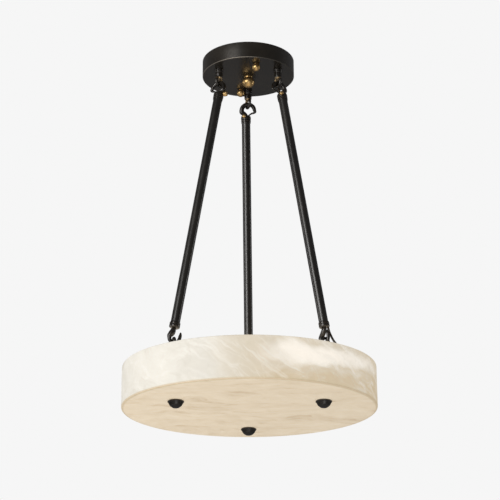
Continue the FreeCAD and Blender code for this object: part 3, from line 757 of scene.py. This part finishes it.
# --------------------------------------------------------------------- rods
for k in AZ:
    td, bd = pol(1, TOP_DIR[k]), pol(1, BOT_DIR[k])
    topf, base = rod_frame(k, Z_TOP, td), rod_frame(k, Z_BOT, bd)
    body = "rod_" + k
    L = (on_rod(k, Z_TOP) - on_rod(k, Z_BOT)).length
    fu = (on_rod(k, Z_TOP) - on_rod(k, Z_FU)).length
    fl = (on_rod(k, Z_FL) - on_rod(k, Z_BOT)).length
    tube = arc_prof([(6.1, 4.0), (ROD_R, 4.0), (ROD_R, 5.0), (ROD_R, L * 0.25),
                     (ROD_R, L * 0.5), (ROD_R, L * 0.75), (ROD_R, L - 11.6),
                     (ROD_R, L - 10.6), (6.1, L - 10.6)], 4)
    dress(lathe("rod_" + k + "_tube", tube, 48, base, closed=True), rod_mat, body,
          "black_metal", "rod_tube_" + k)
    R = FER_R
    fer = arc_prof([(3.1, 0.0), (R - 2.2, 0.0, 0.8), (R - 0.5, -1.6, 1.2), (R, -3.6, 1.0),
                    (R, -fu + 6.3, 0.25), (R - 0.75, -fu + 5.9, 0.2),
                    (R - 0.75, -fu + 5.3, 0.2), (R - 0.1, -fu + 4.9, 0.25),
                    (R - 0.1, -fu + 3.2, 0.25), (R - 0.7, -fu + 2.8, 0.2),
                    (R - 0.7, -fu + 2.3, 0.2), (R - 0.35, -fu + 2.0, 0.2),
                    (R - 0.35, -fu, 0.3), (ROD_R, -fu), (ROD_R, -10.6), (3.1, -10.6)], 4)
    dress(lathe("ferrule_top_" + k, fer, 64, topf, closed=True, angle=40), bronze, body,
          "black_metal", "top_ferrule_" + k)
    fer = arc_prof([(3.1, 0.0), (R - 2.0, 0.0, 0.7), (R - 0.2, 1.2, 0.8), (R, 2.4, 0.5),
                    (R, 4.6, 0.25), (R - 0.7, 5.0, 0.2), (R - 0.7, 5.5, 0.2),
                    (R, 5.9, 0.25), (R, fl - 1.5, 0.25), (R - 0.5, fl - 1.1, 0.2),
                    (R - 0.5, fl, 0.3), (ROD_R, fl), (ROD_R, 4.0), (3.1, 4.0)], 4)
    dress(lathe("ferrule_low_" + k, fer, 64, base, closed=True, angle=40), bronze, body,
          "black_metal", "bottom_ferrule_" + k)

    # top hook, melted from tapered bars
    inv = topf.inverted()
    c = inv @ Vector((eyes[k].x, eyes[k].y, HOOK_ZC))
    uc, wc = c.x, c.z - HOOK_RC
    ctrl = [(0, 0, -5.4, 2.95), (0, 0, 0.2, 3.0), (-1.6, 0, 2.4, 3.5),
            (-4.9, 0, 4.4, 4.1), (uc - HOOK_RC - 0.1, 0, wc - 2.0, 4.05)]
    for i in range(1, 9):
        t = math.pi - math.pi * i / 9.4
        ctrl.append((uc + HOOK_RC * math.cos(t), 0, wc + HOOK_RC * math.sin(t),
                     3.95 - 0.62 * i / 8))
    ctrl += [(uc + HOOK_RC + 0.3, 0, wc + 0.2, 2.9), (uc + HOOK_RC + 1.2, 0, wc - 2.4, 2.1),
             (uc + HOOK_RC - 1.8, 0, wc - 4.4, 1.75), (9.6, 0, 3.6, 1.5), (5.4, 0, 1.0, 1.15)]
    p, r = catmull(ctrl, 0.6)
    dress(forged("hook_top_" + k, [skin(p, r, 22), ball_lump(ctrl[-1][:3], 1.15)], 0.34, 2,
                 topf), bronze, body, "black_metal", "top_hook_" + k)

    # bottom hook: open J
    inv = base.inverted()
    c = inv @ Vector((beyes[k].x, beyes[k].y, J_ZC))
    uc, wc = c.x, c.z + JRC
    sgn = 1.0
    ctrl = [(0, 0, 3.4, 2.95), (0, 0, -0.2, 2.95), (0.12 * (uc - JRC), 0, -2.4, 3.9),
            (0.50 * (uc - JRC), 0, 0.38 * wc - 2.0, 4.2 if k == "right" else 5.0),
            (0.98 * (uc - JRC) - 0.5, 0, 0.8 * wc - 0.4, 3.5 if k == "right" else 4.15)]
    for i in range(0, 9):
        t = math.pi + math.pi * i / 8.4
        q = (1 + math.cos(t)) / 2
        ctrl.append((uc + JRC * math.cos(t) - 0.5 * (1 - q) ** 2, 0,
                     wc + JRC * math.sin(t) + 1.6 * q ** 5,
                     (3.3, 3.0, 2.9, 2.85, 2.85, 2.85, 2.85, 2.8, 2.8)[i]))
    ctrl += [(uc + JRC + 0.4, 0, wc + 6.0, 2.5), (uc + JRC + 0.2, 0, wc + 10.4, 1.3)]
    p, r = catmull(ctrl, 0.6)
    dress(forged("hook_low_" + k, [skin(p, r, 22), ball_lump(ctrl[-1][:3], 1.2)], 0.34, 2,
                 base), bronze, body, "black_metal", "bottom_hook_" + k)

    # brass set screw with a domed head, turned
    gd = pol(1, SCREW_DIR[k])
    gdir = (gd + Vector((0, 0, 0.15))).normalized()
    gc = on_rod(k, Z_TOP - SCREW_DROP[k])
    gx, gr = SCREW_MORE[k]
    q = gdir.to_track_quat("Z", "X").to_matrix().to_4x4()
    gm = Matrix.Translation(gc) @ q
    hr = 3.3 + gr
    pr = arc_prof([(0, 5.4), (2.86, 5.4), (2.86, 8.5, 0.2), (hr, 8.8, 0.3),
                   (hr, 10.0 + gx, 0.9), (hr - 0.9, 11.5 + gx, 0.9), (0, 11.85 + gx)], 6)
    dress(lathe("set_screw_" + k, pr, 48, gm), brass, body, "brass", "ferrule_screw_" + k)

# --------------------------------------------------------------------- bowl
def stone_wob(v):
    # hand-dressed stone: a tenth of a millimetre of unevenness
    q = noise.noise(Vector((v.x, v.y, v.z)) * 0.018) * 0.22
    rr = math.hypot(v.x, v.y)
    if rr < 1:
        return v
    s = (rr - 0.15 + q) / rr
    return Vector((v.x * s, v.y * s, v.z)) if rr > 190 else v


zb, zr, Ri = -601.0, -535.0, 186.0
prof = [(0, zb)] + [(r, zb) for r in (30, 60, 90, 120, 150, 180)]
prof += [(200, zb, 2.6)] + [(200, zb + h) for h in (8, 18, 28, 38, 48, 58)]
prof += [(200, zr, 2.2), (Ri, zr, 1.6), (Ri, zb + 40), (Ri, zb + 14, 6.0), (90, zb + 14),
         (0, zb + 14)]
dress(lathe("stone_bowl", arc_prof(prof, 8), 240, wob=stone_wob, angle=40), stone, "bowl",
      "alabaster", "alabaster_bowl")

for k in AZ:
    p0, q0 = studs[k], beyes[k]
    fin = arc_prof([(0, zb - 11.8), (4.6, zb - 11.5, 4.0), (9.2, zb - 8.2, 6.0),
                    (11.7, zb - 3.7, 1.5), (12.6, zb - 2.9, 0.6), (12.9, zb - 2.0, 0.6),
                    (12.6, zb - 0.8, 0.3), (3.2, zb - 0.8), (3.0, zb - 5.5),
                    (0, zb - 5.6)], 7)
    m = Matrix.Translation(Vector((p0.x, p0.y, 0)))
    dress(lathe("finial_dome_" + k, fin, 72, m), bronze, "bowl", "black_metal",
          "finial_" + k)
    ax = pol(1, BOT_DIR[k])
    zs = BEYE_ZC - 20.0
    path = [(p0.x, p0.y, zb - 5.4), (p0.x, p0.y, -570.0), (p0.x, p0.y, zs - 6),
            (p0.x, p0.y, zs - 2), (p0.x + (q0.x - p0.x) * 0.12, p0.y + (q0.y - p0.y) * 0.12, zs + 1.5),
            (p0.x + (q0.x - p0.x) * 0.45, p0.y + (q0.y - p0.y) * 0.45, zs + 6.0),
            (q0.x, q0.y, BEYE_ZC - BEYE_RC - 0.4)]
    stem = skin(path, [2.95, 2.95, 2.95, 3.0, 3.1, 3.1, 2.9], 22)
    ring = ring_lump((q0.x, q0.y, BEYE_ZC), BEYE_RC, BEYE_WIRE, ax)
    dress(forged("eye_bowl_" + k, [stem, ring], 0.42, 3), bronze, "bowl", "black_metal",
          "bowl_eye_" + k)


# -------------------------------------------------------------------- leads
def lead(name, pts, body, *replaced):
    cu = bpy.data.curves.new(name, "CURVE")
    cu.dimensions = "3D"
    sp = cu.splines.new("NURBS")
    sp.points.add(len(pts) - 1)
    for q, p in zip(sp.points, pts):
        q.co = (p[0] * MM, p[1] * MM, p[2] * MM, 1)
    sp.order_u = 3
    sp.use_endpoint_u = True
    cu.bevel_depth = 1.7 * MM
    cu.bevel_resolution = 6
    cu.resolution_u = 16
    cu.use_fill_caps = True
    ob = bpy.data.objects.new(name, cu)
    scene.collection.objects.link(ob)
    dg = bpy.context.evaluated_depsgraph_get()
    me = bpy.data.meshes.new_from_object(ob.evaluated_get(dg))
    bpy.data.objects.remove(ob)
    ob = bpy.data.objects.new(name, me)
    scene.collection.objects.link(ob)
    me.polygons.foreach_set("use_smooth", [True] * len(me.polygons))
    return ob


lh = Vector((49.5, -6.0, 0))
lc = on_rod("right", Z_TOP - 6.0)
ld = (pol(1, 100.0) + Vector((0, 0, 0.8))).normalized()
pts = [Vector((lh.x, lh.y, -15.0)), Vector((lh.x, lh.y, -46.0)), lc + ld * 21.0,
       lc + ld * 5.0]
up = lead("lead_top_jumper", pts, "canopy")
up.data.materials.append(lead_mat)
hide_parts("lead_upper")
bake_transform(up)

base = rod_frame("right", Z_BOT, pol(1, BOT_DIR["right"]))
ex0, ex = base @ Vector((2.0, 6.3, 3.6)), base @ Vector((2.0, 6.3, -3.6))
ex2 = base @ Vector((2.6, 7.0, -9.0))
pts = [ex0, ex, ex2, Vector((ex2.x + 4.4, ex2.y + 0.3, -505.5)), Vector((135.6, -69.5, -517.0)),
       Vector((140.5, -71.5, -531.0)), Vector((140.5, -71.5, -550.5))]
low = lead("lead_low_jumper", pts, "bowl")
low.data.materials.append(lead_mat)
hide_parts("lead_lower")
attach(low, "bowl")

# -------------------------------------------------------------------- stage
floor_me = bpy.data.meshes.new("floor")
floor_me.from_pydata([(-9, -9, -2.9), (9, -9, -2.9), (9, 9, -2.9), (-9, 9, -2.9)], [],
                     [(0, 1, 2, 3)])
floor = bpy.data.objects.new("floor", floor_me)
scene.collection.objects.link(floor)
fm, fnt, fbs = new_mat("pale_floor")
fn = noise_tex(fnt, coords(fnt), 1.5, 3.0, 0.5)
fnt.links.new(ramp(fnt, fn.outputs["Fac"], [(0.3, (0.86, 0.86, 0.855)),
                                            (0.7, (0.885, 0.885, 0.88))]),
              fbs.inputs["Base Color"])
fbs.inputs["Roughness"].default_value = 0.9
floor_me.materials.append(fm)

world = bpy.data.worlds.new("studio")
scene.world = world
world.use_nodes = True
wt = world.node_tree
bg = wt.nodes["Background"]
lp = wt.nodes.new("ShaderNodeLightPath")
tc = wt.nodes.new("ShaderNodeTexCoord")
sx = wt.nodes.new("ShaderNodeSeparateXYZ")
wt.links.new(tc.outputs["Generated"], sx.inputs[0])
grad = ramp(wt, maprange(wt, sx.outputs["Z"], -1.0, 1.0, 0.0, 1.0, False),
            [(0.0, (0.26, 0.25, 0.24)), (0.35, (0.12, 0.118, 0.115)),
             (0.6, (0.075, 0.075, 0.077)), (1.0, (0.14, 0.14, 0.145))])
wt.links.new(mixc(wt, lp.outputs["Is Camera Ray"], grad, (0.9215, 0.9215, 0.9215)),
             bg.inputs["Color"])


def area(name, loc, target, size, power, color=(1, 1, 1), size_y=None):
    li = bpy.data.lights.new(name, "AREA")
    li.energy, li.color = power, color
    li.shape = "RECTANGLE"
    li.size, li.size_y = size, size_y or size
    ob = bpy.data.objects.new(name, li)
    scene.collection.objects.link(ob)
    ob.location = loc
    ob.rotation_mode = "QUATERNION"
    ob.rotation_quaternion = (Vector(target) - Vector(loc)).to_track_quat("-Z", "Y")
    return ob


area("key_left", (-1.85, -2.43, 0.0), (0, 0, -0.35), 1.7, 58, size_y=2.0)
area("side_left", (-2.8, 0.4, -0.2), (0, 0, -0.35), 0.5, 7, size_y=1.8)
area("side_right", (2.8, 0.5, -0.3), (0, 0, -0.35), 0.4, 6, size_y=1.8)
area("front_low", (0.3, -2.3, -2.1), (0, 0, -0.4), 1.4, 8)
area("bowl_glow", (0, 0, -0.50), (0, 0, 0), 0.34, 0.12, color=(1.0, 0.82, 0.60))
